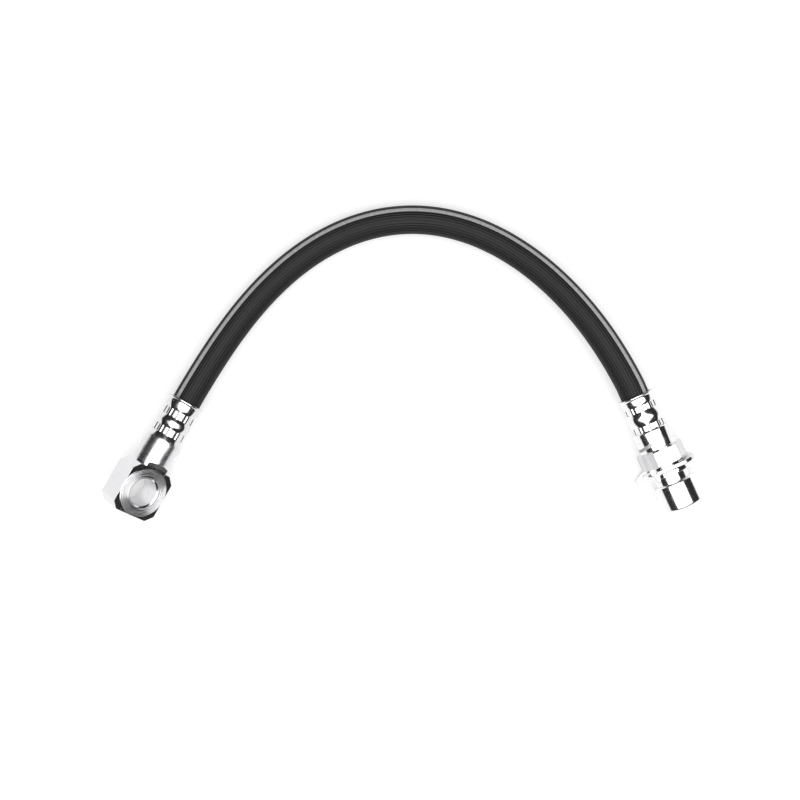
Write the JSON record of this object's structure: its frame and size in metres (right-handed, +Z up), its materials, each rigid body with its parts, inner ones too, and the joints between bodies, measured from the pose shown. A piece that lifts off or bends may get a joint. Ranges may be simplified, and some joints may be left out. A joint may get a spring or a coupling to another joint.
{
  "type": "brake hose",
  "caption": "Rubber brake hose lying in an open bend, with a crimped banjo fitting at its left end and a crimped female fitting with a retaining clip at its right end.",
  "frame": {"origin": "bottom centre of the box round the two end fittings and the clip, on the surface that the part lies on", "axes": "+X from the banjo fitting to the female fitting, +Y towards the top of the hose's bend, +Z up"},
  "size_m": [0.2122, 0.1126, 0.0204],
  "materials": {
    "hose_rubber": "black, finely ribbed lengthwise, with a pale grey stripe",
    "plated_steel": "bright zinc plating over turned and milled steel",
    "nipple_steel": "turned, uncoated",
    "clip_steel": "zinc plated spring sheet"
  },
  "bodies": {
    "root": {"hose": "hose_rubber", "banjo_fitting": "plated_steel", "banjo_nipple": "nipple_steel", "female_fitting": "plated_steel", "female_nipple": "nipple_steel", "retaining_clip": "clip_steel"}
  },
  "joints": []
}
